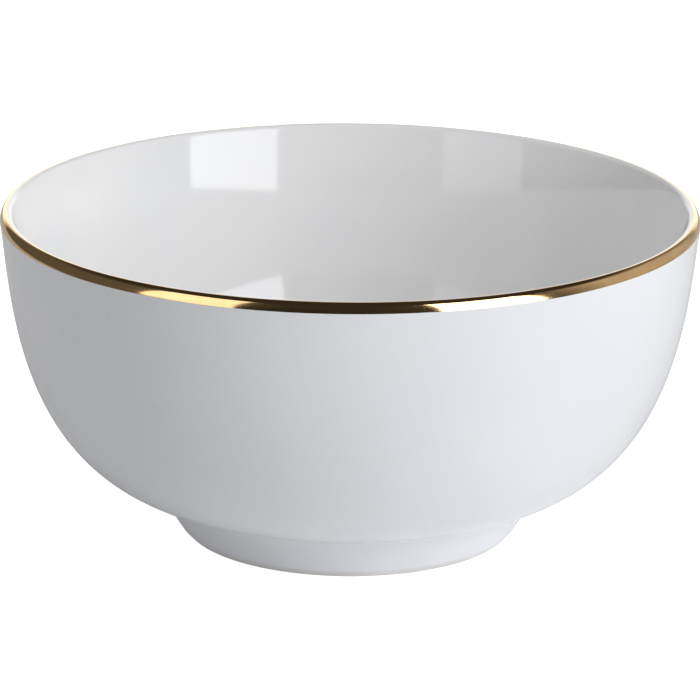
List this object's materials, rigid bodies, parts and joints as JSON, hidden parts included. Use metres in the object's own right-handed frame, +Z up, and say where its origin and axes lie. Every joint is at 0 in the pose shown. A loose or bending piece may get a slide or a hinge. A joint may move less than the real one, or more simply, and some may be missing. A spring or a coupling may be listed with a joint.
{
  "type": "serving bowl",
  "caption": "Round white porcelain serving bowl with a full belly, a coved foot ring and a thin gilded band round the outer lip.",
  "frame": {"origin": "on the table, at the centre of the foot ring", "axes": "+Z up along the bowl's turning axis; +X and +Y are level and free, because the bowl is round"},
  "size_m": [0.2002, 0.2002, 0.0956],
  "materials": {
    "bisque_body": "matte",
    "bisque_foot": "matte",
    "liner_glaze": "gloss",
    "outside_glaze": "gloss",
    "base_glaze": "gloss",
    "gilding": "polished"
  },
  "bodies": {
    "root": {"bowl_body": "bisque_body", "foot_ring": "bisque_foot", "liner_glaze": "liner_glaze", "outside_glaze": "outside_glaze", "base_glaze": "base_glaze", "rim_gilding": "gilding"}
  },
  "joints": []
}
